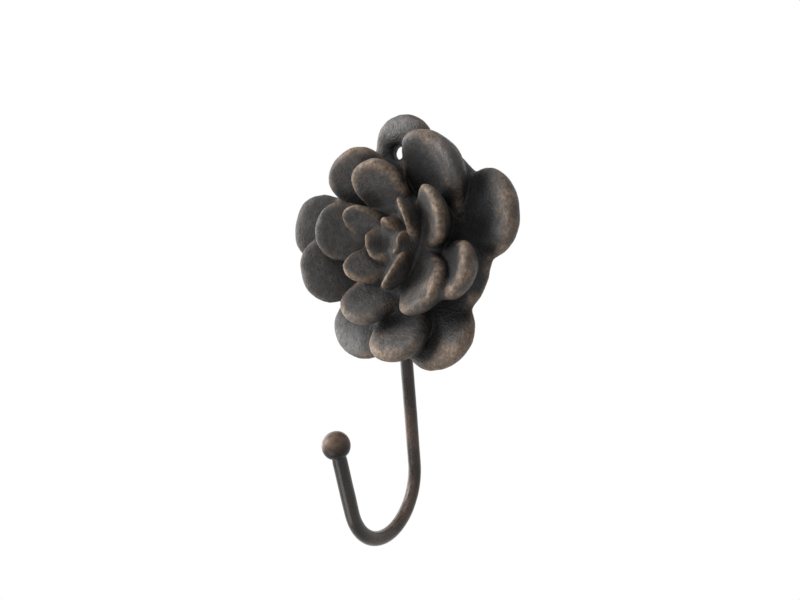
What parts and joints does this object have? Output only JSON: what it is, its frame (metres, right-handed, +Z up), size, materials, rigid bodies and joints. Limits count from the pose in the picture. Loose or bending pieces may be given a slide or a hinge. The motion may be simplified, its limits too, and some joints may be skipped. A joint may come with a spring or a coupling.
{
  "type": "cast iron wall hook",
  "caption": "Cast rose wall hook: tiers of cupped petals on a flat-backed core, a screw hole through the top petal and a bent rod hook with a ball end.",
  "frame": {"origin": "on the wall plane, on the flower's axis, at the centre of the casting's flat back", "axes": "+Z up, -Y out of the wall to the front, +Y into the wall, +X to the right seen from the front"},
  "size_m": [0.1028, 0.0541, 0.1616],
  "materials": {
    "bronzed_iron": "dark oil-rubbed bronze over sand-cast iron, worn to copper brown on the rims",
    "bronzed_rod": "dark oil-rubbed bronze on smooth rod",
    "bronzed_ball": "dark oil-rubbed bronze"
  },
  "bodies": {
    "root": {"flower_casting": "bronzed_iron", "hook_rod": "bronzed_rod", "ball_tip": "bronzed_ball"}
  },
  "joints": []
}
